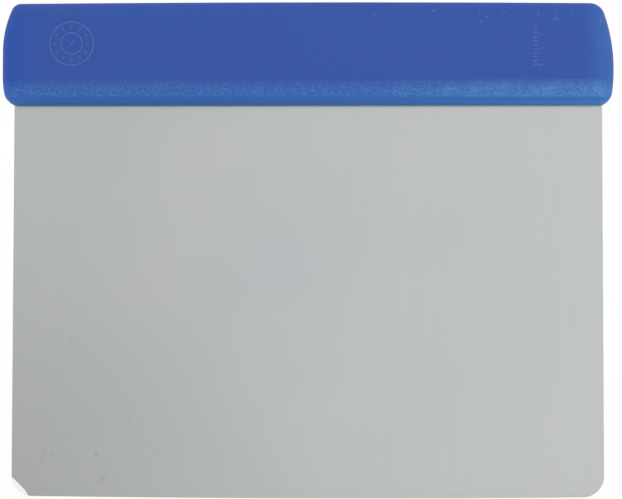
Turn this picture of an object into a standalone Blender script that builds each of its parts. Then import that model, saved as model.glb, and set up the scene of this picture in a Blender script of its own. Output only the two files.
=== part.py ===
"""Bench scraper: a stainless sheet blade in a moulded-over plastic handle.

The scraper is drawn lying flat, face up: X runs along its length, Y runs from
the working edge to the handle's back, and Z is its thickness. An empty then
stands it upright on its working edge, so that Y becomes +Z and the face that
lay upwards looks towards -Y. The origin is the middle of the working edge.
All sizes are in metres.
"""

import math

import bmesh
import bpy
from mathutils import Matrix

# ---------------------------------------------------------------- dimensions

# Handle: its outline, seen square to the blade.
HANDLE_LENGTH = 0.150
HANDLE_HEIGHT = 0.0248          # lower edge to the ends of the back
BACK_CROWN = 0.0003             # rise of the back in its middle
END_BOW_RADIUS = 0.046          # the long curve of each end
WIDEST_HEIGHT = 0.009           # where the ends bow out furthest
BACK_CORNER_RADIUS = 0.0045
LOWER_CORNER_RADIUS = 0.003

# Handle: its depth and the rounding of its two faces into that outline.
HANDLE_THICKNESS = 0.018
RIM_WIDTH = 0.006               # band round the middle, square to the faces
ROUND_BACK = 0.0045             # how far the rounding reaches in at the back
ROUND_LOWER = 0.008
ROUND_END = 0.006

# Blade.
BLADE_THICKNESS = 0.0008
BLADE_REACH = 0.0964            # working edge to the handle's lower edge
HANDLE_OVERHANG = 0.0026        # handle past the blade at each end
BLADE_CORNER_RADIUS = 0.0052
EDGE_CROWN = 0.00045            # the working edge bows down in its middle
GRIND_HEIGHT = 0.0022
EDGE_THICKNESS = 0.0003         # what the grinding leaves at the edge

# How the handle holds the blade.
TANG_DEPTH = 0.016              # blade inside the handle
LOCK_HOLE_RADIUS = 0.0035
LOCK_HOLE_PITCH = 0.027
LOCK_HOLE_RISE = 0.008          # hole centres above the handle's lower edge
LOCK_HOLE_MARGIN = 0.014        # least room from a hole centre to a blade side
MOULD_CLEARANCE = 0.0003        # gap between steel and plastic, on every side

# Fineness of the facets.
CORNER_STEP = math.radians(12)
BOW_STEP = math.radians(3)
CROWN_SEGMENTS = 8
ROUND_RINGS = 6
HOLE_SEGMENTS = 24
BLADE_CREASE = 20               # degrees: steeper edges stay sharp
HANDLE_CREASE = 35
CUT_PAST = 0.002                # how far a cutter runs past what it cuts
WELD = 0.000001                 # points closer than this are one point
SQUARE_ON = 0.9                 # least part of a normal along Z on a flat face

# Sizes that follow from those above.
BLADE_HALF = HANDLE_LENGTH / 2 - HANDLE_OVERHANG
BLADE_TOP = BLADE_REACH + TANG_DEPTH
LOCK_HOLE_Y = BLADE_REACH + LOCK_HOLE_RISE


# ------------------------------------------------------------------ outlines

def arc(centre, radius, start, end, step):
    """Points along an arc, both ends included."""
    count = max(1, math.ceil(abs(end - start) / step))
    points = []
    for i in range(count + 1):
        angle = start + (end - start) * i / count
        x = centre[0] + radius * math.cos(angle)
        y = centre[1] + radius * math.sin(angle)
        points.append((x, y))
    return points


def crown_arc(half, low, high):
    """An arc from (0, high) out to (half, low), level in its middle."""
    rise = high - low
    radius = (half ** 2 + rise ** 2) / (2 * rise)
    turn = math.asin(half / radius)
    up = math.pi / 2
    return arc((0, high - radius), radius, up, up - turn, turn / CROWN_SEGMENTS)


def both_sides(right):
    """A closed outline from its right half, listed anticlockwise from x = 0."""
    left = [(-x, y) for x, y in reversed(right) if x > WELD]
    return right + left


def handle_outline():
    """Bowed ends between two rounded corners, under a faintly crowned back."""
    low = BLADE_REACH
    bow_x = HANDLE_LENGTH / 2 - END_BOW_RADIUS
    bow_y = low + WIDEST_HEIGHT

    lower_y = low + LOWER_CORNER_RADIUS
    reach = END_BOW_RADIUS - LOWER_CORNER_RADIUS
    lower_x = bow_x + math.sqrt(reach ** 2 - (bow_y - lower_y) ** 2)
    lower_turn = math.atan2(lower_y - bow_y, lower_x - bow_x)

    back_y = low + HANDLE_HEIGHT - BACK_CORNER_RADIUS
    reach = END_BOW_RADIUS - BACK_CORNER_RADIUS
    back_x = bow_x + math.sqrt(reach ** 2 - (back_y - bow_y) ** 2)
    back_turn = math.atan2(back_y - bow_y, back_x - bow_x)

    down = -math.pi / 2
    up = math.pi / 2
    lower = arc((lower_x, lower_y), LOWER_CORNER_RADIUS, down, lower_turn, CORNER_STEP)
    bow = arc((bow_x, bow_y), END_BOW_RADIUS, lower_turn, back_turn, BOW_STEP)
    back = arc((back_x, back_y), BACK_CORNER_RADIUS, back_turn, up, CORNER_STEP)
    top = low + HANDLE_HEIGHT
    crown = crown_arc(back_x, top, top + BACK_CROWN)
    crown.reverse()
    return both_sides(lower + bow[1:-1] + back[:-1] + crown)


def blade_outline():
    """Square at the tang, rounded at the lower corners, crowned at the edge."""
    edge_radius = (BLADE_HALF ** 2 + EDGE_CROWN ** 2) / (2 * EDGE_CROWN)
    corner_x = BLADE_HALF - BLADE_CORNER_RADIUS
    reach = edge_radius - BLADE_CORNER_RADIUS
    corner_y = edge_radius - math.sqrt(reach ** 2 - corner_x ** 2)
    turn = math.asin(corner_x / reach)

    down = -math.pi / 2
    edge = arc((0, edge_radius), edge_radius, down, down + turn, turn / CROWN_SEGMENTS)
    corner = arc((corner_x, corner_y), BLADE_CORNER_RADIUS, down + turn, 0, CORNER_STEP)
    return both_sides(edge[:-1] + corner + [(BLADE_HALF, BLADE_TOP)])


def lock_hole_places():
    """A centred row of hole centres across the tang."""
    room = 2 * (BLADE_HALF - LOCK_HOLE_MARGIN)
    count = math.floor(room / LOCK_HOLE_PITCH) + 1
    middle = (count - 1) / 2
    return [((i - middle) * LOCK_HOLE_PITCH, LOCK_HOLE_Y, 0) for i in range(count)]


def slot_outline():
    """The tang and its clearance, open through the handle's lower edge."""
    half = BLADE_HALF + MOULD_CLEARANCE
    low = BLADE_REACH - CUT_PAST
    high = BLADE_TOP + MOULD_CLEARANCE
    return [(-half, low), (half, low), (half, high), (-half, high)]


# ------------------------------------------------------------------- helpers

def clear_scene():
    for thing in list(bpy.data.objects):
        bpy.data.objects.remove(thing, do_unlink=True)


def make_collection(name):
    group = bpy.data.collections.new(name)
    bpy.context.scene.collection.children.link(group)
    return group


def make_material(name, colour, roughness, metallic):
    material = bpy.data.materials.new(name)
    material.use_nodes = True
    shader = material.node_tree.nodes["Principled BSDF"]
    shader.inputs["Base Color"].default_value = (*colour, 1.0)
    shader.inputs["Roughness"].default_value = roughness
    shader.inputs["Metallic"].default_value = metallic
    return material


def plate(name, outline, thickness, group):
    """A flat plate of this outline, centred on Z."""
    curve = bpy.data.curves.new(name, "CURVE")
    curve.dimensions = "2D"
    curve.fill_mode = "BOTH"
    curve.extrude = thickness / 2
    spline = curve.splines.new("POLY")
    spline.points.add(len(outline) - 1)
    for point, (x, y) in zip(spline.points, outline):
        point.co = (x, y, 0, 1)
    spline.use_cyclic_u = True
    drawn = bpy.data.objects.new(name + "_curve", curve)
    group.objects.link(drawn)

    seen = drawn.evaluated_get(bpy.context.evaluated_depsgraph_get())
    mesh = bpy.data.meshes.new_from_object(seen)
    weld(mesh)
    made = bpy.data.objects.new(name, mesh)
    made.matrix_world = drawn.matrix_world
    group.objects.link(made)
    bpy.data.objects.remove(drawn, do_unlink=True)
    return made


def weld(mesh):
    """Join a curve's loose caps to its sides."""
    work = bmesh.new()
    work.from_mesh(mesh)
    bmesh.ops.remove_doubles(work, verts=work.verts, dist=WELD)
    bmesh.ops.recalc_face_normals(work, faces=work.faces)
    work.to_mesh(mesh)
    work.free()


def punches(name, radius, group):
    """A row of round punches through the sheet, one at each lock hole."""
    mesh = bpy.data.meshes.new(name)
    work = bmesh.new()
    for place in lock_hole_places():
        bmesh.ops.create_cone(
            work,
            cap_ends=True,
            segments=HOLE_SEGMENTS,
            radius1=radius,
            radius2=radius,
            depth=BLADE_THICKNESS + 2 * CUT_PAST,
            matrix=Matrix.Translation(place),
        )
    work.to_mesh(mesh)
    work.free()
    row = bpy.data.objects.new(name, mesh)
    group.objects.link(row)
    return row


def cut(target, cutter):
    """Take the cutter's shape out of the target."""
    cutter.display_type = "WIRE"
    cutter.hide_render = True
    change = target.modifiers.new("cut_" + cutter.name, "BOOLEAN")
    change.operation = "DIFFERENCE"
    change.solver = "EXACT"
    change.object = cutter


def shade(thing, crease):
    thing.data.shade_smooth()
    thing.data.set_sharp_from_angle(angle=math.radians(crease))


# -------------------------------------------------------------------- pieces

def round_face(work, side):
    """Draw one flat face out, ring by ring, along a quarter of an ellipse."""
    middle = BLADE_REACH + HANDLE_HEIGHT * ROUND_LOWER / (ROUND_LOWER + ROUND_BACK)
    to_middle = Matrix.Translation((0, -middle, 0))
    depth = (HANDLE_THICKNESS - RIM_WIDTH) / 2
    face = [f for f in work.faces if f.normal.z * side > SQUARE_ON]
    was_x, was_y, was_z = 1, 1, 0
    for ring in range(1, ROUND_RINGS + 1):
        turn = math.pi / 2 * ring / ROUND_RINGS
        inward = 1 - math.cos(turn)
        now_x = 1 - inward * ROUND_END / (HANDLE_LENGTH / 2)
        now_y = 1 - inward * (ROUND_LOWER + ROUND_BACK) / HANDLE_HEIGHT
        now_z = depth * math.sin(turn)
        edges = list(dict.fromkeys(edge for f in face for edge in f.edges))
        drawn = bmesh.ops.extrude_face_region(work, geom=face + edges)["geom"]
        corners = [g for g in drawn if isinstance(g, bmesh.types.BMVert)]
        face = [g for g in drawn if isinstance(g, bmesh.types.BMFace)]
        shrink = (now_x / was_x, now_y / was_y, 1)
        bmesh.ops.scale(work, vec=shrink, space=to_middle, verts=corners)
        bmesh.ops.translate(work, vec=(0, 0, side * (now_z - was_z)), verts=corners)
        was_x, was_y, was_z = now_x, now_y, now_z


def grinding_wedge(name, side, group):
    """A block leaning in from one face, whose under side is the ground face.

    It runs past the top of the grind too, where it has risen off the sheet.
    """
    height = GRIND_HEIGHT + 2 * CUT_PAST
    bpy.ops.mesh.primitive_cube_add(size=1)
    block = bpy.context.object
    block.name = name
    block.scale = (2 * (BLADE_HALF + CUT_PAST), height, BLADE_THICKNESS)
    bpy.ops.object.transform_apply(location=False, rotation=False, scale=True)

    face = side * BLADE_THICKNESS / 2
    slope = math.atan2((BLADE_THICKNESS - EDGE_THICKNESS) / 2, GRIND_HEIGHT)
    past_top = Matrix.Translation((0, CUT_PAST - height / 2, face))
    lean = Matrix.Rotation(side * slope, 4, "X")
    to_blade = Matrix.Translation((0, GRIND_HEIGHT, face))
    block.matrix_world = to_blade @ lean @ past_top
    bpy.context.collection.objects.unlink(block)
    group.objects.link(block)
    return block


def make_blade(group, cutters):
    """A sheet punched with lock holes and ground on both faces at the edge."""
    blade = plate("blade", blade_outline(), BLADE_THICKNESS, group)
    cut(blade, punches("lock_holes", LOCK_HOLE_RADIUS, cutters))
    for side, name in ((1, "grind_front"), (-1, "grind_back")):
        cut(blade, grinding_wedge(name, side, cutters))

    steel = make_material("stainless_steel", (0.50, 0.51, 0.51), 0.38, 1.0)
    blade.data.materials.append(steel)
    shade(blade, BLADE_CREASE)
    return blade


def make_handle(group, cutters):
    """A solid bar with rounded faces, and a slot round the tang.

    Plugs of the same plastic cross the slot through the tang's lock holes.
    """
    handle = plate("handle", handle_outline(), RIM_WIDTH, group)
    work = bmesh.new()
    work.from_mesh(handle.data)
    round_face(work, 1)
    round_face(work, -1)
    work.to_mesh(handle.data)
    work.free()

    slot_width = BLADE_THICKNESS + 2 * MOULD_CLEARANCE
    slot = plate("tang_slot", slot_outline(), slot_width, cutters)
    cut(slot, punches("lock_plugs", LOCK_HOLE_RADIUS - MOULD_CLEARANCE, cutters))
    cut(handle, slot)

    plastic = make_material("blue_polypropylene", (0.045, 0.10, 0.38), 0.45, 0.0)
    handle.data.materials.append(plastic)
    shade(handle, HANDLE_CREASE)
    return handle


def stand_up(things):
    """Turn the flat-drawn scraper upright, with its working edge down."""
    stand = bpy.data.objects.new("stand", None)
    bpy.context.scene.collection.objects.link(stand)
    for thing in things:
        thing.parent = stand
    stand.rotation_euler = (math.pi / 2, 0, 0)


def main():
    clear_scene()
    scraper = make_collection("bench_scraper")
    cutters = make_collection("cutters")
    make_blade(scraper, cutters)
    make_handle(scraper, cutters)
    stand_up(list(scraper.objects) + list(cutters.objects))


main()
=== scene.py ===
# %% [markdown]
# # A bench scraper, made the way it is made in the workshop
# A baker's bench scraper is two things only: a stiff rectangle of stainless
# sheet, and a bar of blue plastic that was moulded round the sheet's upper
# strip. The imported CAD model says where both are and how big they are. This
# lesson keeps that frame and makes the surfaces that a hand and an eye meet.

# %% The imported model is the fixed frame
import math

import bmesh
import bpy
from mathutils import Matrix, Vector


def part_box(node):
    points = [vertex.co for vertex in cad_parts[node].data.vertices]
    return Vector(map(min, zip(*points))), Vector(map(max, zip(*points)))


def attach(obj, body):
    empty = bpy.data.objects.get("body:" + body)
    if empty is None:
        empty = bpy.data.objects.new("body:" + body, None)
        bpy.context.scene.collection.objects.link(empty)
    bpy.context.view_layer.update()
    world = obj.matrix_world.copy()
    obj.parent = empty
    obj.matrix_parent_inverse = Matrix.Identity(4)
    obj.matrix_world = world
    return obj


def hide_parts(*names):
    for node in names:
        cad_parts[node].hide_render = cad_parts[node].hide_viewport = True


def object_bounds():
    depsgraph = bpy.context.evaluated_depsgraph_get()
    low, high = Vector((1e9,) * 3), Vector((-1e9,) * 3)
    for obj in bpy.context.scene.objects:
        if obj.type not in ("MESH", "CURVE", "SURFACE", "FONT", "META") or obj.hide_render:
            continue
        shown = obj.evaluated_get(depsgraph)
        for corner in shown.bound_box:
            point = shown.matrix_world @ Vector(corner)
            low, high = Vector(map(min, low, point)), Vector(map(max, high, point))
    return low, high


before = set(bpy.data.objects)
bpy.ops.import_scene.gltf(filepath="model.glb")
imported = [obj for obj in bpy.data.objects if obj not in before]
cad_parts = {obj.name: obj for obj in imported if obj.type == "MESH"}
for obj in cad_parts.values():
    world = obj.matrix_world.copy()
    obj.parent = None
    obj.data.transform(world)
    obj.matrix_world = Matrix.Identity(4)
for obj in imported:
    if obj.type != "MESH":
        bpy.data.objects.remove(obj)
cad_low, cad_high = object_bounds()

MM = 0.001
blade_low, blade_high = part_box("blade")
grip_low, grip_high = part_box("handle")
print("frame, mm:", [round(v / MM, 2) for v in (*cad_low, *cad_high)])

# %% [markdown]
# ## Camera
# A long lens stands a little over half a metre in front, close to the table,
# and looks slightly up. That is why the blade's sides spread by under one
# part in a hundred towards the edge. A real lens length and a real distance
# give this by themselves; stretching the model would not.

# %% Camera
CAMERA_PLACE = (10.5 * MM, -550 * MM, 32.8 * MM)
CAMERA_UP = math.radians(2.92)
CAMERA_LEFT = math.radians(1.0)
CAMERA_ROLL = math.radians(-0.08)
LENS_MM = 129.7

lens = bpy.data.cameras.new("camera")
lens.sensor_width = 36
lens.lens = LENS_MM
lens.clip_start = 0.01
camera = bpy.data.objects.new("camera", lens)
camera.location = CAMERA_PLACE
camera.rotation_euler = (math.pi / 2 + CAMERA_UP, CAMERA_ROLL, CAMERA_LEFT)
bpy.context.scene.collection.objects.link(camera)
bpy.context.scene.camera = camera
bpy.context.scene.view_settings.view_transform = "Standard"
print("camera", [round(v, 4) for v in CAMERA_PLACE], "lens", LENS_MM)

# %% [markdown]
# ## Colours and nodes
# Colours are written as the hex values that a paint chart gives. Shaders work
# in linear light, so one function turns the first into the second. A second
# function adds a node, sets it and wires it, and every material uses it.
#
# Two nodes come back all the time, with numbered inputs. Map Range takes the
# value at 0 from the span 1 to 2 over to the span 3 to 4. Mix, set to colours,
# goes from colour 6 to colour 7 by the share at 0.

# %% Two helpers for every material
def linear(hex_text):
    """An sRGB hex colour as the linear RGBA that shaders use."""
    channels = []
    for start in (0, 2, 4):
        value = int(hex_text[start:start + 2], 16) / 255
        low = value / 12.92
        high = ((value + 0.055) / 1.055) ** 2.4
        channels.append(low if value <= 0.04045 else high)
    return (*channels, 1.0)


def add(tree, kind, settings, inputs):
    """Add a node; an input is either a value or another node's output."""
    node = tree.nodes.new(kind)
    for name, value in settings.items():
        setattr(node, name, value)
    for socket, value in inputs.items():
        if isinstance(value, bpy.types.NodeSocket):
            tree.links.new(value, node.inputs[socket])
        else:
            node.inputs[socket].default_value = value
    return node


def per_metre(size_mm):
    """A texture scale whose features are about this many millimetres."""
    return 1 / (size_mm * MM)


print("linear mid grey:", [round(c, 3) for c in linear("808080")])

# %% [markdown]
# ## Table, backdrop and light
# The scraper stands on a matt white table in front of a white backdrop. What
# the camera and the gloss see of the backdrop is plain white at strength 1,
# and what lights the object is kept apart from it: an even, pale world that
# lets a colour come out as written, and one large soft box, low and to the
# right, which makes the steel and the handle's lower edge lighter that way.

# %% Rays that show a thing, and rays that light it
def shown(tree):
    """1 for rays that show a thing to the eye, by gloss or glass too, else 0."""
    path = add(tree, "ShaderNodeLightPath", {}, {})
    direct = add(tree, "ShaderNodeMath", {"operation": "MAXIMUM"},
                 {0: path.outputs["Is Camera Ray"], 1: path.outputs["Is Glossy Ray"]})
    through = add(tree, "ShaderNodeMath", {"operation": "MAXIMUM"},
                  {0: direct.outputs[0], 1: path.outputs["Is Transmission Ray"]})
    return through.outputs[0]


print("rays that show: camera, glossy, transmission")

# %% World
WORLD_LIGHT = 0.88
BACKDROP_LIGHT = 1.0

world = bpy.data.worlds.new("studio")
world.use_nodes = True
bpy.context.scene.world = world
tree = world.node_tree
tree.nodes.clear()
lighting = add(tree, "ShaderNodeBackground", {},
               {"Color": linear("FFFFFF"), "Strength": WORLD_LIGHT})
backdrop = add(tree, "ShaderNodeBackground", {},
               {"Color": linear("FFFFFF"), "Strength": BACKDROP_LIGHT})
mixed = add(tree, "ShaderNodeMixShader", {},
            {0: shown(tree), 1: lighting.outputs[0], 2: backdrop.outputs[0]})
add(tree, "ShaderNodeOutputWorld", {}, {"Surface": mixed.outputs[0]})
print("world light", WORLD_LIGHT, "backdrop", BACKDROP_LIGHT)

# %% [markdown]
# ## The table
# The table is a plain sheet, matt so that it shows no reflection. What is seen
# of it is nearly all plain white. The small rest is its lit paint, which keeps
# a breath of the scraper's shadow. It lies a hair lower than the edge.

# %% Table
TABLE_SIZE = 12.0
TABLE_LIFT = 0.92               # share of plain white in what is seen
TABLE_DROP = 0.2 * MM

bpy.ops.object.select_all(action="DESELECT")
bpy.ops.mesh.primitive_plane_add(size=TABLE_SIZE, location=(0, 0, cad_low.z - TABLE_DROP))
table = bpy.context.object
table.name = "table"
matt = bpy.data.materials.new("matt_white_table")
matt.use_nodes = True
tree = matt.node_tree
tree.nodes.clear()
lift = add(tree, "ShaderNodeMath", {"operation": "MULTIPLY"},
           {0: shown(tree), 1: TABLE_LIFT})
paint = add(tree, "ShaderNodeBsdfDiffuse", {}, {"Color": linear("FCFCFC")})
white = add(tree, "ShaderNodeEmission", {}, {"Color": linear("FFFFFF"), "Strength": 1.0})
mixed = add(tree, "ShaderNodeMixShader", {},
            {0: lift.outputs[0], 1: paint.outputs[0], 2: white.outputs[0]})
add(tree, "ShaderNodeOutputMaterial", {}, {"Surface": mixed.outputs[0]})
table.data.materials.append(matt)
print("table", TABLE_SIZE, "m wide")

# %% [markdown]
# ## The soft box
# One lamp helps the steel to go slowly from dull at the left to bright at the
# right. It is a half-metre square, so its shadows are as good as none.

# %% Soft box
BOX_PLACE = Vector((0.62, -0.62, 0.12))
BOX_SIZE = 0.55
BOX_WATTS = 2.2

light = bpy.data.lights.new("soft_box", "AREA")
light.shape = "SQUARE"
light.size = BOX_SIZE
light.energy = BOX_WATTS
soft_box = bpy.data.objects.new("soft_box", light)
soft_box.location = BOX_PLACE
middle = Vector((0, 0, (cad_low.z + cad_high.z) / 2))
soft_box.rotation_euler = (middle - BOX_PLACE).to_track_quat("-Z", "Y").to_euler()
bpy.context.scene.collection.objects.link(soft_box)
print("soft box, m from the middle:", round((middle - BOX_PLACE).length, 2))

# %% [markdown]
# ## Drawing with a pen
# Both pieces start as a flat outline with exact arcs. In edit mode one vertex
# is a pen: extruding it draws a line, and spinning it about a centre draws an
# arc. Where both sides are alike, half an outline is enough.

# %% Pen helpers
WELD = 0.01 * MM                # points closer than this become one


def start_pen(name, place):
    """A mesh of one selected vertex at this place, left in edit mode."""
    bpy.ops.object.select_all(action="DESELECT")
    bpy.ops.mesh.primitive_plane_add(size=MM, location=place)
    drawn = bpy.context.object
    drawn.name = name
    drawn.data.name = name
    bpy.ops.object.transform_apply(location=True, rotation=True, scale=True)
    bpy.ops.object.mode_set(mode="EDIT")
    bpy.ops.mesh.select_mode(type="VERT")
    bpy.ops.mesh.select_all(action="SELECT")
    bpy.ops.mesh.merge(type="CENTER")
    return drawn


def pen_line(x, z):
    """Draw straight on by this much."""
    bpy.ops.mesh.extrude_vertices_move(TRANSFORM_OT_translate={"value": (x, 0, z)})


def pen_arc(x, z, turn, steps):
    """Draw an arc about (x, z) in steps, anticlockwise as seen from the front."""
    bpy.ops.mesh.spin(steps=steps, angle=turn, center=(x, 0, z), axis=(0, 1, 0))


def pen_place(drawn):
    """Where the pen is now."""
    work = bmesh.from_edit_mesh(drawn.data)
    return [v.co.copy() for v in work.verts if v.select][-1]


print("the pen draws from one vertex, in the plane y = 0")

# %% [markdown]
# ## The handle's outline
# Seen from the front the handle is a bar whose back rises by a hair in the
# middle and whose ends are bowed. The bow rolls into the back and into the
# lower edge with round corners. Its left end is a little fuller and squarer
# than its right one, so the halves are drawn one by one with the same
# function. Every centre follows from two circles touching, none is guessed.

# %% A function that draws one end
BACK_CROWN = 0.3 * MM
LOWER_CORNER = 3 * MM
back_z = grip_high.z - BACK_CROWN


def rolled(corner, bow, rise):
    """Where a corner that rolls inside the bow has its centre, and its turn."""
    run = math.sqrt((bow - corner) ** 2 - rise ** 2)
    return grip_high.x - bow + run, math.atan2(rise, run)


def draw_end(side, bow, upright_low, upright_high, corner):
    """An end, bowed below and above an upright bit, with half of both edges."""
    bow_x = grip_high.x - bow
    lower_x, lower_turn = rolled(LOWER_CORNER, bow, LOWER_CORNER - upright_low)
    back_rise = back_z - corner - grip_low.z - upright_high
    back_x, back_turn = rolled(corner, bow, back_rise)
    crown = (back_x ** 2 + BACK_CROWN ** 2) / (2 * BACK_CROWN)
    crown_turn = math.asin(back_x / crown)

    half = start_pen("handle_grip", (0, 0, grip_low.z))
    pen_line(lower_x, 0)
    pen_arc(lower_x, grip_low.z + LOWER_CORNER, math.pi / 2 + lower_turn, steps=14)
    pen_arc(bow_x, grip_low.z + upright_low, -lower_turn, steps=8)
    pen_line(0, upright_high - upright_low)
    pen_arc(bow_x, grip_low.z + upright_high, back_turn, steps=16)
    pen_arc(back_x, back_z - corner, math.pi / 2 - back_turn - crown_turn, steps=14)
    pen_arc(0, grip_high.z - corner - crown, crown_turn, steps=20)
    print("pen ends at, mm:", [round(v / MM, 3) for v in pen_place(half)])

    bpy.ops.mesh.select_all(action="SELECT")
    bpy.ops.transform.resize(value=(side, 1, 1), center_override=(0, 0, 0))
    bpy.ops.object.mode_set(mode="OBJECT")
    return half


# %% Both ends
handle = draw_end(side=1, bow=42 * MM, upright_low=8.4 * MM,
                  upright_high=8.7 * MM, corner=3.8 * MM)
left_half = draw_end(side=-1, bow=25.3 * MM, upright_low=7 * MM,
                     upright_high=13 * MM, corner=2.5 * MM)
handle.select_set(True)
bpy.context.view_layer.objects.active = handle
bpy.ops.object.join()
print("outline points", len(handle.data.vertices))

# %% [markdown]
# ## The handle's body
# The mould opens front to back, so the handle is two equal halves that meet
# in a parting line. The outline is filled, drawn forwards to make the square
# rim, then drawn on in small steps while it shrinks, which rounds it like the
# quarter of an ellipse into a flat face. Mirroring gives the back.

# %% Helpers for selecting, mirroring and applying
def apply_all(piece):
    """Apply the piece's modifiers in order."""
    bpy.ops.object.select_all(action="DESELECT")
    piece.select_set(True)
    bpy.context.view_layer.objects.active = piece
    for change in list(piece.modifiers):
        bpy.ops.object.modifier_apply(modifier=change.name)


def mirror(piece, axis):
    """Give the piece its other half, joined where the halves meet."""
    bpy.ops.object.mode_set(mode="OBJECT")
    change = piece.modifiers.new("mirror", "MIRROR")
    change.use_axis = [axis == "X", axis == "Y", axis == "Z"]
    change.merge_threshold = 2 * WELD
    apply_all(piece)


def select(piece, test, kind="faces"):
    """In edit mode, select the faces or edges that pass a test."""
    bpy.ops.mesh.select_mode(type="FACE" if kind == "faces" else "EDGE")
    bpy.ops.mesh.select_all(action="DESELECT")
    work = bmesh.from_edit_mesh(piece.data)
    count = 0
    for item in getattr(work, kind):
        if test(item):
            item.select_set(True)
            count += 1
    work.select_flush_mode()
    bmesh.update_edit_mesh(piece.data)
    return count


print("points merge within, mm:", WELD / MM)

# %% Front half of the body
RIM_HALF = 3 * MM
ROUND_BACK = 4.5 * MM
ROUND_LOWER = 8 * MM
ROUND_END = 6 * MM
ROUND_STEPS = 16
RIDGE_HALF = 0.12 * MM
PARTING_RIDGE = 0.05 * MM       # how far the parting line stands out
MARK_HEIGHT = 0.12 * MM         # the face lies this much below its marks
FACE_INSET = 0.4 * MM           # a narrow last ring keeps the shading clean

bpy.ops.object.mode_set(mode="EDIT")
bpy.ops.mesh.select_all(action="SELECT")
bpy.ops.mesh.remove_doubles(threshold=WELD)
bpy.ops.mesh.edge_face_add()

height = grip_high.z - grip_low.z
still_z = grip_low.z + height * ROUND_LOWER / (ROUND_LOWER + ROUND_BACK)
still = (0, 0, still_z)
ridge_x = 1 - PARTING_RIDGE / grip_high.x
ridge_z = 1 - 2 * PARTING_RIDGE / height


def draw_forward(depth, grow_x=1.0, grow_z=1.0):
    """Extrude the selected face towards the front and resize it there."""
    bpy.ops.mesh.extrude_region_move(TRANSFORM_OT_translate={"value": (0, -depth, 0)})
    bpy.ops.transform.resize(value=(grow_x, 1, grow_z), center_override=still)


draw_forward(RIDGE_HALF, ridge_x, ridge_z)
draw_forward(RIM_HALF - RIDGE_HALF)

face_y = grip_high.y - MARK_HEIGHT
depth = face_y - RIM_HALF
was_x, was_y, was_z = 1.0, 0.0, 1.0
for step in range(1, ROUND_STEPS + 1):
    turn = math.pi / 2 * step / ROUND_STEPS
    inward = 1 - math.cos(turn)
    now_x = 1 - inward * ROUND_END / grip_high.x
    now_y = depth * math.sin(turn)
    now_z = 1 - inward * (ROUND_LOWER + ROUND_BACK) / height
    draw_forward(now_y - was_y, now_x / was_x, now_z / was_z)
    was_x, was_y, was_z = now_x, now_y, now_z
draw_forward(0, 1 - FACE_INSET / grip_high.x, 1 - 2 * FACE_INSET / height)

gone = select(handle, lambda f: all(abs(v.co.y) < MM / 1000 for v in f.verts))
bpy.ops.mesh.delete(type="ONLY_FACE")
mirror(handle, "Y")
bpy.ops.object.mode_set(mode="EDIT")
bpy.ops.mesh.select_all(action="SELECT")
bpy.ops.mesh.remove_doubles(threshold=WELD)
bpy.ops.mesh.normals_make_consistent(inside=False)
bpy.ops.object.mode_set(mode="OBJECT")
print("handle faces", len(handle.data.polygons), "inner faces removed", gone)

# %% [markdown]
# ## Where the steel goes in
# The plastic shrinks onto the sheet as it cools, so the slot hugs the tang
# and only a hairline shows. The cutter is a block a hair larger than the tang.

# %% The slot
def combine(piece, other, how):
    """Join another shape to the piece, or cut it out, and remove it."""
    change = piece.modifiers.new(how, "BOOLEAN")
    change.operation = how
    change.solver = "EXACT"
    change.object = other
    apply_all(piece)
    bpy.data.objects.remove(other, do_unlink=True)


HUG_GAP = 0.04 * MM
CUT_PAST = 2 * MM

tang_low = Vector((blade_low.x - HUG_GAP, blade_low.y - HUG_GAP, grip_low.z - CUT_PAST))
tang_high = blade_high + Vector((HUG_GAP, HUG_GAP, HUG_GAP))
bpy.ops.object.select_all(action="DESELECT")
bpy.ops.mesh.primitive_cube_add(size=1, location=(tang_low + tang_high) / 2)
slot_cutter = bpy.context.object
slot_cutter.scale = tang_high - tang_low
bpy.ops.object.transform_apply(location=True, rotation=True, scale=True)
combine(handle, slot_cutter, "DIFFERENCE")
print("slot, mm:", [round(v / MM, 2) for v in tang_high - tang_low])

# %% [markdown]
# ## Marks from the mould
# A moulded handle carries marks that the toolmaker cut or screwed into the
# steel. On the front there is a small dial that dates the shot, near the left
# end, and a short upright scale near the right end. On the back there are the
# faint rings of four ejector pins and the dimple where the plastic came in.
# They are only tenths of a millimetre high or deep. Each is a slim round bar
# or ring that is joined to the face or cut out of it, copied and turned.

# %% Tools that leave the marks
MARK_WIDTH = 0.55 * MM
mark_radius = (MARK_WIDTH ** 2 / 4 + MARK_HEIGHT ** 2) / (2 * MARK_HEIGHT)


def place_mesh(tool, turn, x, y, z):
    """Turn a new tool about the Y axis through its origin, then place it."""
    bpy.ops.object.transform_apply(location=True, rotation=True, scale=True)
    tool.rotation_euler = (0, turn, 0)
    tool.location = (x, y, z)
    bpy.ops.object.transform_apply(location=True, rotation=True, scale=True)


def bar(length, turn, x, y, z):
    """A round bar of this length, lying in the face's plane."""
    bpy.ops.object.select_all(action="DESELECT")
    bpy.ops.mesh.primitive_cylinder_add(
        vertices=20, radius=mark_radius, depth=length, rotation=(0, math.pi / 2, 0))
    tool = bpy.context.object
    place_mesh(tool, turn, x, y, z)
    return tool


def ring(radius, x, y, z):
    """A round ring of this radius, lying in the face's plane."""
    bpy.ops.object.select_all(action="DESELECT")
    bpy.ops.mesh.primitive_torus_add(
        major_radius=radius, minor_radius=mark_radius, major_segments=56,
        minor_segments=20, rotation=(math.pi / 2, 0, 0))
    tool = bpy.context.object
    place_mesh(tool, 0, x, y, z)
    return tool


def work_face(tools, how):
    """Join the bars and rings, and add them to the handle or cut them out."""
    bpy.ops.object.select_all(action="DESELECT")
    for tool in tools:
        tool.select_set(True)
    bpy.context.view_layer.objects.active = tools[0]
    if len(tools) > 1:
        bpy.ops.object.join()
    combine(handle, tools[0], how)


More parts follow.
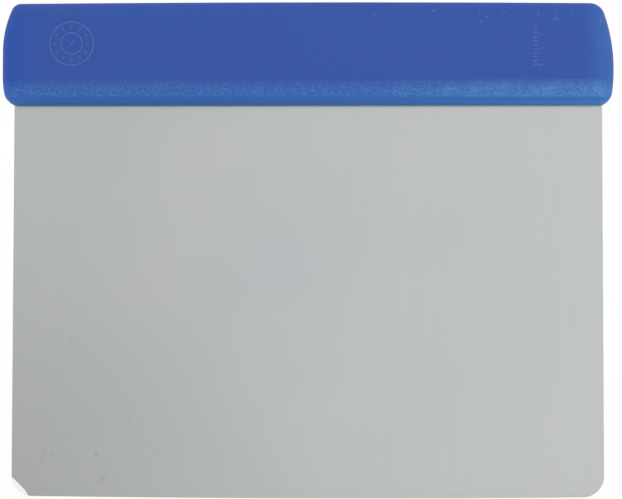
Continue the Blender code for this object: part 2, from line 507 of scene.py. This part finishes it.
print("mark radius, mm:", round(mark_radius / MM, 3))

# %% Dial on the front
crest_y = grip_low.y + mark_radius
flat_z = (grip_low.z + ROUND_LOWER + back_z - ROUND_BACK) / 2
DIAL_X = -57.4 * MM
DIAL_RADIUS = 5.3 * MM
HUB_RADIUS = DIAL_RADIUS * 0.5
TICK_RADIUS = DIAL_RADIUS * 0.76
TICK_LENGTH = 1.1 * MM
POINTER_LENGTH = 2.6 * MM
POINTER_TURN = math.radians(-52)
MONTHS = 12

marks = [ring(DIAL_RADIUS, DIAL_X, crest_y, flat_z)]
marks.append(ring(HUB_RADIUS, DIAL_X, crest_y, flat_z))
for month in range(MONTHS):
    turn = 2 * math.pi / MONTHS * month
    marks.append(bar(TICK_LENGTH, turn, DIAL_X + TICK_RADIUS * math.cos(turn),
                     crest_y, flat_z - TICK_RADIUS * math.sin(turn)))
marks.append(bar(POINTER_LENGTH, POINTER_TURN, DIAL_X, crest_y, flat_z))
print("dial parts:", len(marks))

# %% Scale on the front
SCALE_X = 54.7 * MM
SCALE_STEP = 0.95 * MM
SCALE_LINES = 12
LONG_EVERY = 4
LONG_LINE = 2.3 * MM
SHORT_LINE = 1.3 * MM

for line in range(SCALE_LINES):
    length = SHORT_LINE if line % LONG_EVERY else LONG_LINE
    steps_up = line - (SCALE_LINES - 1) / 2
    marks.append(bar(length, 0, SCALE_X + length / 2,
                     crest_y, flat_z + steps_up * SCALE_STEP))
work_face(marks, "UNION")
print("handle faces", len(handle.data.polygons))

# %% Ejector rings and gate on the back
PIN_RADIUS = 3 * MM
PIN_X = (-57 * MM, -19 * MM, 19 * MM, 57 * MM)
GATE_BALL = 4 * MM
GATE_DEPTH = 0.5 * MM
SMOOTH = math.radians(30)
groove_y = face_y + mark_radius - MARK_HEIGHT

work_face([ring(PIN_RADIUS, x, groove_y, flat_z) for x in PIN_X], "DIFFERENCE")
bpy.ops.object.select_all(action="DESELECT")
bpy.ops.mesh.primitive_uv_sphere_add(
    segments=32, ring_count=16, radius=GATE_BALL,
    location=(0, face_y + GATE_BALL - GATE_DEPTH, flat_z), rotation=(math.pi / 2, 0, 0))
gate = bpy.context.object
bpy.ops.object.transform_apply(location=True, rotation=True, scale=True)
work_face([gate], "DIFFERENCE")
bpy.ops.object.shade_smooth_by_angle(angle=SMOOTH)
print("handle faces", len(handle.data.polygons))

# %% [markdown]
# ## The blade
# The blank is sheared from sheet, its two lower corners are rounded and its
# working edge is very slightly crowned, so that it rocks through dough. Both
# faces are then ground to a shallow bevel. Two bisecting planes do what the
# flat grinding wheel does, and a third dubs off the lower left corner, where
# the blade was touched to the polishing wheel.

# %% Half of the blade's outline
EDGE_CROWN = 0.45 * MM
BLADE_CORNER = 5.2 * MM

edge_radius = (blade_high.x ** 2 + EDGE_CROWN ** 2) / (2 * EDGE_CROWN)
corner_x = blade_high.x - BLADE_CORNER
reach = edge_radius - BLADE_CORNER
corner_z = blade_low.z + edge_radius - math.sqrt(reach ** 2 - corner_x ** 2)
edge_turn = math.asin(corner_x / reach)

blade = start_pen("blade_sheet", (0, 0, blade_low.z))
pen_arc(0, blade_low.z + edge_radius, edge_turn, steps=24)
pen_arc(corner_x, corner_z, math.pi / 2 - edge_turn, steps=30)
pen_line(0, blade_high.z - corner_z)
pen_line(-blade_high.x, 0)
print("pen ends at, mm:", [round(v / MM, 3) for v in pen_place(blade)])

# %% Blank of sheet
mirror(blade, "X")
bpy.ops.object.mode_set(mode="EDIT")
bpy.ops.mesh.select_all(action="SELECT")
bpy.ops.mesh.remove_doubles(threshold=WELD)
bpy.ops.mesh.edge_face_add()
bpy.ops.transform.translate(value=(0, blade_low.y, 0))
bpy.ops.mesh.extrude_region_move(TRANSFORM_OT_translate={"value": (0, 2 * blade_high.y, 0)})
bpy.ops.mesh.select_all(action="SELECT")
bpy.ops.mesh.normals_make_consistent(inside=False)
print("sheet thickness, mm:", round(2 * blade_high.y / MM, 2))

# %% Ground bevels and the dubbed corner
GRIND_HEIGHT = 2.2 * MM
EDGE_LEFT = 0.3 * MM
FACET_LEG = 4.7 * MM            # how far along both sides the facet reaches
FACET_TILT = math.radians(27)   # away from the sheet's front
CUT_WITHIN = 0.0001 * MM

fall = blade_high.y - EDGE_LEFT / 2
facet_down = math.sin(FACET_TILT) / math.sqrt(2)
facet_faced = Vector((-facet_down, -math.cos(FACET_TILT), -facet_down))
cuts = [((0, side * blade_high.y, blade_low.z + GRIND_HEIGHT),
         (0, side * GRIND_HEIGHT, -fall)) for side in (-1, 1)]
cuts.append(((blade_low.x + FACET_LEG, blade_low.y, blade_low.z + EDGE_CROWN), facet_faced))
for touched, faced in cuts:
    bpy.ops.mesh.select_all(action="SELECT")
    bpy.ops.mesh.bisect(
        plane_co=touched,
        plane_no=faced,
        use_fill=True,
        clear_outer=True,
        threshold=CUT_WITHIN,
    )
print("flat cuts:", len(cuts), "bevel angle, degrees:",
      round(math.degrees(math.atan2(fall, GRIND_HEIGHT)), 1))

# %% [markdown]
# ## Broken edges
# Sheared sheet cuts the hand, so every sharp edge is broken on a belt. A small
# bevel on all sharp edges does this, and catches a thread of light.

# %% Broken edges
BROKEN_EDGE = 0.08 * MM
SHARP = math.radians(40)
CREASE = math.radians(5)        # keeps the shallow ground bevels crisp

rim = select(blade, lambda e: e.is_manifold and e.calc_face_angle() > SHARP, "edges")
bpy.ops.mesh.bevel(offset=BROKEN_EDGE, segments=2, profile=0.6, clamp_overlap=True)
bpy.ops.object.mode_set(mode="OBJECT")
bpy.ops.object.shade_smooth_by_angle(angle=CREASE)
print("blade faces", len(blade.data.polygons), "broken edges", rim)

# %% [markdown]
# ## Blue polypropylene
# Knife and scraper handles for bakeries are moulded in blue polypropylene,
# because no food is blue. It is soft, a little waxy and slightly see-through.
# The mould was spark-eroded, so the face has a fine dead-matt grain. The colour
# is built up in layers: the moulding's own blue, painted shade at the left end
# and along the back, painted highlight, glints and reflection down the lower lip
# and at the right end, and what hands have done to it.

# %% Handle colours and the shader
BODY = "274C9F"                 # full thickness
BODY_FLOW = "294E9F"            # where the melt flowed
PAINTED_SHADE_BLUE = "1A4CAA"                 # painted shade at the left end and under the back
TOP_EDGE_SHADE = "123A92"              # painted shade along the top edge of the back
RIGHT_END_HIGHLIGHT = "2766A8"             # painted highlight at the right end, which faces the soft box
LOWER_LIP_HIGHLIGHT = "2F69BA"            # painted highlight down the lower lip
LIP_REFLECTION = "357CC8"             # painted reflection of the bright blade on the lip's last millimetre
SPECKLE_GLINT = "6CA3D4"               # painted glints in the grain of the lower rounding
SCUFF = "7EA6DC"                # knocks and worn crests

plastic = bpy.data.materials.new("moulded_blue_polypropylene")
plastic.use_nodes = True
tree = plastic.node_tree
shader = tree.nodes["Principled BSDF"]
shader.inputs["IOR"].default_value = 1.49
shader.inputs["Specular IOR Level"].default_value = 0.4
coords = add(tree, "ShaderNodeTexCoord", {}, {})
spot = coords.outputs["Object"]
axes = add(tree, "ShaderNodeSeparateXYZ", {}, {0: spot})
print("body blue in linear light:", [round(c, 3) for c in linear(BODY)])

# %% Slow streaks where the melt flowed along the handle
FLOW_MM = 9
FLOW_DRAWN = 0.3                # below 1 draws the streaks out along X

stretched = add(tree, "ShaderNodeMapping", {},
                {"Vector": spot, "Scale": (FLOW_DRAWN, 1, 1)})
flow = add(tree, "ShaderNodeTexNoise", {},
           {"Vector": stretched.outputs[0], "Scale": per_metre(FLOW_MM), "Detail": 2.0})
body = add(tree, "ShaderNodeMix", {"data_type": "RGBA"},
           {0: flow.outputs[0], 6: linear(BODY), 7: linear(BODY_FLOW)})
print("streaks, mm:", FLOW_MM, "x", round(FLOW_MM / FLOW_DRAWN))

# %% Painted shade: darker blue at the left end and along the back
LEFT_REACH = 10 * MM            # in from the left end
SHADE_REACH = 4 * MM             # down from the back
SHADE_SHARE = 0.7
TOP_SHADE_REACH = 2 * MM
TOP_SHADE_SHARE = 0.6

# Painted shade: the left end, away from the soft box, and the back's rounding, which gets
# little light from above, are darkened in the colour.
left_end = add(tree, "ShaderNodeMapRange", {"interpolation_type": "SMOOTHSTEP"},
               {0: axes.outputs["X"], 1: grip_low.x + LEFT_REACH,
                2: grip_low.x + LEFT_REACH / 10, 3: 0.0, 4: 1.0})
under_back = add(tree, "ShaderNodeMapRange", {"interpolation_type": "SMOOTHSTEP"},
                 {0: axes.outputs["Z"], 1: back_z - SHADE_REACH, 2: back_z,
                  3: 0.0, 4: SHADE_SHARE})
deep = add(tree, "ShaderNodeMath", {"operation": "MAXIMUM"},
           {0: left_end.outputs[0], 1: under_back.outputs[0]})
shaded = add(tree, "ShaderNodeMix", {"data_type": "RGBA"},
               {0: deep.outputs[0], 6: body.outputs[2], 7: linear(PAINTED_SHADE_BLUE)})
# Painted shade: the last two millimetres under the back turn darker still, where the top
# edge turns away from the light.
top_shade = add(tree, "ShaderNodeMapRange", {"interpolation_type": "SMOOTHSTEP"},
             {0: axes.outputs["Z"], 1: back_z - TOP_SHADE_REACH, 2: back_z,
              3: 0.0, 4: TOP_SHADE_SHARE})
top_shaded = add(tree, "ShaderNodeMix", {"data_type": "RGBA"},
              {0: top_shade.outputs[0], 6: shaded.outputs[2], 7: linear(TOP_EDGE_SHADE)})
print("deeper from the back down, mm:", round(SHADE_REACH / MM, 1))

# %% Painted highlight at the right end and down the lower lip
END_HIGHLIGHT_SHARE = 0.44
HIGHLIGHT_RISE = 5.5 * MM
HIGHLIGHT_LEFT_SHARE = 0.72

# Painted highlight: the right end, turned to the soft box, is lightened in the colour.
right_end_highlight = add(tree, "ShaderNodeMapRange", {"interpolation_type": "SMOOTHSTEP"},
                {0: axes.outputs["X"], 1: grip_high.x - 9 * MM, 2: grip_high.x - 2 * MM,
                 3: 0.0, 4: END_HIGHLIGHT_SHARE})
end_lit = add(tree, "ShaderNodeMix", {"data_type": "RGBA"},
            {0: right_end_highlight.outputs[0], 6: top_shaded.outputs[2], 7: linear(RIGHT_END_HIGHLIGHT)})
# Painted highlight: the lower rounding turns a lighter, greener blue towards the lip and
# towards the right, where it faces the table and the soft box.
lip = add(tree, "ShaderNodeMapRange", {},
          {0: axes.outputs["Z"], 1: grip_low.z + HIGHLIGHT_RISE, 2: grip_low.z + 1 * MM,
           3: 0.0, 4: 1.0})
to_right = add(tree, "ShaderNodeMapRange", {"interpolation_type": "SMOOTHSTEP"},
               {0: axes.outputs["X"], 1: -60 * MM, 2: 62 * MM, 3: HIGHLIGHT_LEFT_SHARE, 4: 1.0})
highlight = add(tree, "ShaderNodeMath", {"operation": "MULTIPLY"},
           {0: lip.outputs[0], 1: to_right.outputs[0]})
lip_highlighted = add(tree, "ShaderNodeMix", {"data_type": "RGBA"},
              {0: highlight.outputs[0], 6: end_lit.outputs[2], 7: linear(LOWER_LIP_HIGHLIGHT)})
print("thin blue starts, mm above the lip:", round(HIGHLIGHT_RISE / MM, 1))

# %% Painted reflection on the lip's last millimetre
EDGE_LEFT_SHARE = 0.25

# Painted reflection: the lip's last millimetre, which faces the bright blade, is lightened
# most, more so to the right.
last_bit = add(tree, "ShaderNodeMapRange", {},
               {0: axes.outputs["Z"], 1: grip_low.z + 1.1 * MM, 2: grip_low.z + 0.05 * MM,
                3: 0.0, 4: 1.0})
lit_right = add(tree, "ShaderNodeMapRange", {"interpolation_type": "SMOOTHSTEP"},
                {0: axes.outputs["X"], 1: 0, 2: 70 * MM, 3: EDGE_LEFT_SHARE, 4: 1.0})
lit = add(tree, "ShaderNodeMath", {"operation": "MULTIPLY"},
          {0: last_bit.outputs[0], 1: lit_right.outputs[0]})
lip_reflected = add(tree, "ShaderNodeMix", {"data_type": "RGBA"},
              {0: lit.outputs[0], 6: lip_highlighted.outputs[2], 7: linear(LIP_REFLECTION)})
print("edge glow from", EDGE_LEFT_SHARE, "at the left to 1 at the right")

# %% [markdown]
# ## Speckled glints
# On the lower rounding the spark grain catches the light in fine glints, and
# these are painted: at a tenth of a millimetre they are only seen as speckle,
# so a noise lightens the blue. A slower noise keeps it uneven, and there is
# more of it to the right, towards the soft box.

# %% Speckle
SPECK_MM = 0.6                  # real spark grain is a quarter of this
SPECK_SHARE = 0.2
DRIFT_MM = 3.5
DRIFT = 0.4
GLINT_LEFT = 0.07
GLINT_RIGHT = 0.31

grain = add(tree, "ShaderNodeTexNoise", {},
            {"Vector": spot, "Scale": per_metre(SPECK_MM), "Detail": 3.0, "Roughness": 0.7})
specks = add(tree, "ShaderNodeMapRange", {},
             {0: grain.outputs[0], 1: 0.36, 2: 0.64, 3: -SPECK_SHARE, 4: SPECK_SHARE})
drift = add(tree, "ShaderNodeTexNoise", {},
            {"Vector": spot, "Scale": per_metre(DRIFT_MM), "Detail": 2.0})
drifts = add(tree, "ShaderNodeMapRange", {},
             {0: drift.outputs[0], 1: 0.3, 2: 0.7, 3: 1 - DRIFT, 4: 1 + DRIFT})
more_right = add(tree, "ShaderNodeMapRange", {"interpolation_type": "SMOOTHSTEP"},
                 {0: axes.outputs["X"], 1: 0, 2: 72 * MM, 3: GLINT_LEFT, 4: GLINT_RIGHT})
level = add(tree, "ShaderNodeMath", {"operation": "MULTIPLY_ADD", "use_clamp": True},
            {0: more_right.outputs[0], 1: drifts.outputs[0], 2: specks.outputs[0]})
print("speck width, mm:", SPECK_MM)

# %% Where the speckle lies
BAND_LOW = 1.1 * MM             # above the handle's lower edge, as are the next
BAND_FULL = 1.75 * MM
BAND_FADES = 3.1 * MM
BAND_HIGH = 5.8 * MM

starts = add(tree, "ShaderNodeMapRange", {"interpolation_type": "SMOOTHSTEP"},
             {0: axes.outputs["Z"], 1: grip_low.z + BAND_LOW, 2: grip_low.z + BAND_FULL,
              3: 0.0, 4: 1.0})
stops = add(tree, "ShaderNodeMapRange", {},
            {0: axes.outputs["Z"], 1: grip_low.z + BAND_FADES, 2: grip_low.z + BAND_HIGH,
             3: 1.0, 4: 0.0})
short_of_end = add(tree, "ShaderNodeMapRange", {"interpolation_type": "SMOOTHSTEP"},
                   {0: axes.outputs["X"], 1: grip_high.x - 3.2 * MM,
                    2: grip_high.x - 1.2 * MM, 3: 1.0, 4: 0.3})
faded = add(tree, "ShaderNodeMath", {"operation": "MULTIPLY"},
            {0: stops.outputs[0], 1: short_of_end.outputs[0]})
band = add(tree, "ShaderNodeMath", {"operation": "MULTIPLY"},
           {0: starts.outputs[0], 1: faded.outputs[0]})
# Painted highlight: the speckle lightens the blue in fine glints on the lower rounding.
glints = add(tree, "ShaderNodeMath", {"operation": "MULTIPLY"},
          {0: band.outputs[0], 1: level.outputs[0]})
glinted = add(tree, "ShaderNodeMix", {"data_type": "RGBA"},
             {0: glints.outputs[0], 6: lip_reflected.outputs[2], 7: linear(SPECKLE_GLINT)})
print("speckled band, mm:", round((BAND_HIGH - BAND_LOW) / MM, 1), "high")

# %% [markdown]
# ## Scuffs and worn marks
# A tool that hangs and lies with others gets small pale knocks. They are the
# peaks of one more noise, few at the left, more to the upper right, and spared
# on the rounded back. The raised marks meet the table first, so their crests
# are worn a little lighter than the face round them.

# %% Scuffs
SCUFF_MM = 1.3
SCUFF_LEFT = 0.05
SCUFF_RIGHT = 0.32

patchy = add(tree, "ShaderNodeTexNoise", {},
             {"Vector": spot, "Scale": per_metre(SCUFF_MM), "Detail": 2.0})
patches = add(tree, "ShaderNodeMapRange", {"interpolation_type": "SMOOTHSTEP"},
              {0: patchy.outputs[0], 1: 0.62, 2: 0.8, 3: 0.0, 4: 1.0})
rightwards = add(tree, "ShaderNodeMapRange", {"interpolation_type": "SMOOTHSTEP"},
                 {0: axes.outputs["X"], 1: -10 * MM, 2: 66 * MM,
                  3: SCUFF_LEFT, 4: SCUFF_RIGHT})
upwards = add(tree, "ShaderNodeMapRange", {"interpolation_type": "SMOOTHSTEP"},
              {0: axes.outputs["Z"], 1: flat_z, 2: back_z - 6 * MM, 3: 0.25, 4: 1.0})
off_back = add(tree, "ShaderNodeMapRange", {"interpolation_type": "SMOOTHSTEP"},
               {0: axes.outputs["Z"], 1: back_z - 4 * MM, 2: back_z - 1 * MM,
                3: 1.0, 4: 0.25})
where = add(tree, "ShaderNodeMath", {"operation": "MULTIPLY"},
            {0: rightwards.outputs[0], 1: upwards.outputs[0]})
where = add(tree, "ShaderNodeMath", {"operation": "MULTIPLY"},
            {0: where.outputs[0], 1: off_back.outputs[0]})
scuffs = add(tree, "ShaderNodeMath", {"operation": "MULTIPLY"},
             {0: patches.outputs[0], 1: where.outputs[0]})
scuffed = add(tree, "ShaderNodeMix", {"data_type": "RGBA"},
              {0: scuffs.outputs[0], 6: glinted.outputs[2], 7: linear(SCUFF)})
print("scuffs, mm:", SCUFF_MM, "strongest", SCUFF_RIGHT)

# %% Crests of the raised marks
CREST_WEAR = 0.13

crest = add(tree, "ShaderNodeMapRange", {},
            {0: axes.outputs["Y"], 1: -face_y - 0.01 * MM, 2: grip_low.y + 0.03 * MM,
             3: 0.0, 4: CREST_WEAR})
worn = add(tree, "ShaderNodeMath", {"operation": "MULTIPLY"},
           {0: crest.outputs[0], 1: drifts.outputs[0]})
finished = add(tree, "ShaderNodeMix", {"data_type": "RGBA"},
               {0: worn.outputs[0], 6: scuffed.outputs[2], 7: linear(SCUFF)})
tree.links.new(finished.outputs[2], shader.inputs["Base Color"])
print("crests stand up, mm:", MARK_HEIGHT / MM)

# %% [markdown]
# ## Dead-matt grain
# The spark-eroded mould leaves a skin of tiny pits, which takes the gloss off
# the plastic. A weak bump scatters the light, and the speckle's own noise
# makes the roughness uneven, so that the painted glints also shine differently.

# %% Grain in the surface
EROSION_MM = 0.35               # real one 0.1 to 0.15 mm, too fine to show
PIT_DEPTH = 0.02 * MM

erosion = add(tree, "ShaderNodeTexNoise", {},
              {"Vector": spot, "Scale": per_metre(EROSION_MM), "Detail": 2.0})
bump = add(tree, "ShaderNodeBump", {},
           {"Height": erosion.outputs[0], "Strength": 0.09, "Distance": PIT_DEPTH})
tree.links.new(bump.outputs[0], shader.inputs["Normal"])
gloss = add(tree, "ShaderNodeMapRange", {},
            {0: grain.outputs[0], 1: 0.3, 2: 0.7, 3: 0.60, 4: 0.72})
tree.links.new(gloss.outputs[0], shader.inputs["Roughness"])
handle.data.materials.clear()
handle.data.materials.append(plastic)
print("handle material nodes:", len(tree.nodes))

# %% [markdown]
# ## Stainless sheet
# Scraper blades are cut from cold-rolled 430 stainless sheet, brushed along
# its short way with a fine belt. The eye gets a soft, nearly even grey with
# a faint upright grain and broad cloudy patches where oil, hands and dough
# have dulled it. Painted shade darkens it towards the lower left corner, and
# painted light brightens it towards the right. The bevel is ground from the
# same sheet, so it shares the tone and differs in scratches.

# %% The tone of the sheet
STEEL = "B8BDBF"
STEEL_WARM = "BDC0BE"           # in the clouds
STEEL_SHADE_LOW_LEFT = "A8ABA9"           # painted shade towards the lower left
STEEL_STAIN = "9FA09A"          # dried drops there
STEEL_LIT_RIGHT = "C2C5C4"          # painted light towards the right
CLOUD_MM = 40
STAIN_MM = 3
STAIN_SHARE = 0.5
LIT_RIGHT_SHARE = 0.8


def sheet_tone(tree, spot):
    """The grey of the sheet from place to place, with painted shade and light, without its
    scratches.
    """
    axes = add(tree, "ShaderNodeSeparateXYZ", {}, {0: spot})
    noise = add(tree, "ShaderNodeTexNoise", {},
                {"Vector": spot, "Scale": per_metre(CLOUD_MM), "Detail": 2.0})
    clouds = add(tree, "ShaderNodeMapRange", {"interpolation_type": "SMOOTHSTEP"},
                 {0: noise.outputs[0], 1: 0.35, 2: 0.65, 3: 0.0, 4: 1.0})
    tinted = add(tree, "ShaderNodeMix", {"data_type": "RGBA"},
                 {0: clouds.outputs[0], 6: linear(STEEL), 7: linear(STEEL_WARM)})
    # Painted shade: leftness, lowness and dull darken the grey towards the lower left.
    leftness = add(tree, "ShaderNodeMapRange", {"interpolation_type": "SMOOTHSTEP"},
                   {0: axes.outputs["X"], 1: 10 * MM, 2: -80 * MM, 3: 0.0, 4: 1.0})
    lowness = add(tree, "ShaderNodeMapRange", {"interpolation_type": "SMOOTHSTEP"},
                  {0: axes.outputs["Z"], 1: 85 * MM, 2: -10 * MM, 3: 0.35, 4: 1.0})
    dull = add(tree, "ShaderNodeMath", {"operation": "MULTIPLY"},
               {0: leftness.outputs[0], 1: lowness.outputs[0]})
    shaded_low_left = add(tree, "ShaderNodeMix", {"data_type": "RGBA"},
                 {0: dull.outputs[0], 6: tinted.outputs[2], 7: linear(STEEL_SHADE_LOW_LEFT)})
    spots = add(tree, "ShaderNodeTexNoise", {},
                {"Vector": spot, "Scale": per_metre(STAIN_MM), "Detail": 1.0})
    stains = add(tree, "ShaderNodeMapRange", {"interpolation_type": "SMOOTHSTEP"},
                 {0: spots.outputs[0], 1: 0.64, 2: 0.82, 3: 0.0, 4: STAIN_SHARE})
    low_left = add(tree, "ShaderNodeMapRange", {"interpolation_type": "SMOOTHSTEP"},
                   {0: dull.outputs[0], 1: 0.3, 2: 0.75, 3: 0.0, 4: 1.0})
    stained = add(tree, "ShaderNodeMath", {"operation": "MULTIPLY"},
                  {0: stains.outputs[0], 1: low_left.outputs[0]})
    marked = add(tree, "ShaderNodeMix", {"data_type": "RGBA"},
                 {0: stained.outputs[0], 6: shaded_low_left.outputs[2], 7: linear(STEEL_STAIN)})
    # Painted light: the grey brightens towards the right, the side of the soft box.
    rightness = add(tree, "ShaderNodeMapRange", {"interpolation_type": "SMOOTHSTEP"},
                    {0: axes.outputs["X"], 1: -25 * MM, 2: 72 * MM, 3: 0.0, 4: LIT_RIGHT_SHARE})
    toned = add(tree, "ShaderNodeMix", {"data_type": "RGBA"},
                {0: rightness.outputs[0], 6: marked.outputs[2], 7: linear(STEEL_LIT_RIGHT)})
    return toned.outputs[2]


print("steel in linear light:", [round(c, 3) for c in linear(STEEL)])

# %% [markdown]
# ## Scratches
# Every abrasive leaves lines: long ones from a belt, short ones from a wheel.
# One noise, drawn out the way the lines run, makes them. It shades the steel
# a little, sways its roughness, and is raised as a bump, so that the lines
# catch the light and aren't only painted on.

# %% Bare steel with its scratches
SCRATCH_DEPTH = 0.01 * MM
GLOSS_SWAY = 0.035


def bare_steel(name, colour, width_mm, drawn_out, shade, gloss, depth):
    """Steel scratched in lines of this width; no colour means the sheet's tone."""
    metal = bpy.data.materials.new(name)
    metal.use_nodes = True
    tree = metal.node_tree
    shader = tree.nodes["Principled BSDF"]
    shader.inputs["Metallic"].default_value = 1.0
    spot = add(tree, "ShaderNodeTexCoord", {}, {}).outputs["Object"]
    tone = linear(colour) if colour else sheet_tone(tree, spot)
    along = add(tree, "ShaderNodeMapping", {}, {"Vector": spot, "Scale": drawn_out})
    lines = add(tree, "ShaderNodeTexNoise", {},
                {"Vector": along.outputs[0], "Scale": per_metre(width_mm), "Detail": 3.0})
    light = add(tree, "ShaderNodeMapRange", {},
                {0: lines.outputs[0], 1: 0.25, 2: 0.75, 3: 1 - shade, 4: 1 + shade})
    grained = add(tree, "ShaderNodeMix", {"data_type": "RGBA", "blend_type": "MULTIPLY"},
                  {0: 1.0, 6: tone, 7: light.outputs[0]})
    tree.links.new(grained.outputs[2], shader.inputs["Base Color"])
    satin = add(tree, "ShaderNodeMapRange", {},
                {0: lines.outputs[0], 1: 0.25, 2: 0.75,
                 3: gloss - GLOSS_SWAY, 4: gloss + GLOSS_SWAY})
    tree.links.new(satin.outputs[0], shader.inputs["Roughness"])
    bump = add(tree, "ShaderNodeBump", {},
               {"Height": lines.outputs[0], "Strength": depth, "Distance": SCRATCH_DEPTH})
    tree.links.new(bump.outputs[0], shader.inputs["Normal"])
    blade.data.materials.append(metal)
    print(name, "nodes:", len(tree.nodes))


print("steel keeps the default IOR and is fully metallic")

# %% [markdown]
# ## Four finishes of one sheet
# The belt leaves long fine lines. The real ones are about 0.05 mm wide and
# are drawn wider here so that they show. The grinding wheel's scratches are
# short and coarser. The other sides are sheared and only deburred, which
# leaves them darker and rougher. The dubbed corner is polished, and its
# near-white colour is a painted glint that makes it flash white.

# %% Four finishes
UPRIGHT = (1, 1, 0.012)         # a small scale along Z draws the lines out that way
CROSSWISE = (1, 0.1, 0.1)       # short lines across the working edge

blade.data.materials.clear()
bare_steel("brushed_stainless_sheet", colour=None, width_mm=0.35,
           drawn_out=UPRIGHT, shade=0.014, gloss=0.205, depth=0.2)
bare_steel("ground_stainless_bevel", colour=None, width_mm=0.4,
           drawn_out=CROSSWISE, shade=0.02, gloss=0.22, depth=0.25)
bare_steel("sheared_stainless_edge", colour="9A9D9D", width_mm=0.5,
           drawn_out=CROSSWISE, shade=0.02, gloss=0.45, depth=0.3)
# The dubbed corner's near-white colour, brighter than any steel, is a painted glint.
bare_steel("polished_stainless_corner_glint", colour="F6F7F7", width_mm=0.5,
           drawn_out=CROSSWISE, shade=0.01, gloss=0.15, depth=0.1)

# %% Each face gets its finish by the way it faces
BRUSHED, GROUND, SHEARED, POLISHED = range(4)

counts = [0, 0, 0, 0]
for face in blade.data.polygons:
    flat_on = abs(face.normal.y)
    finish = SHEARED
    if flat_on > 0.999:
        finish = BRUSHED
    elif flat_on > 0.98 and abs(face.normal.x) < 0.01:
        finish = GROUND
    elif face.normal.dot(facet_faced) > 0.999:
        finish = POLISHED
    face.material_index = finish
    counts[finish] += 1
print("faces brushed, ground, sheared, polished:", counts)

# %% [markdown]
# ## Joined to the model
# Nothing on a scraper moves, so the imported model has one body and both pieces
# ride on it. Each fine surface stands for the plain CAD solid of the same
# piece, which stays hidden for collisions.

# %% Ride and replace
for piece, node in ((handle, "handle"), (blade, "blade")):
    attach(piece, "root")
    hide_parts(node)
    print(piece.name, "stands for", node)
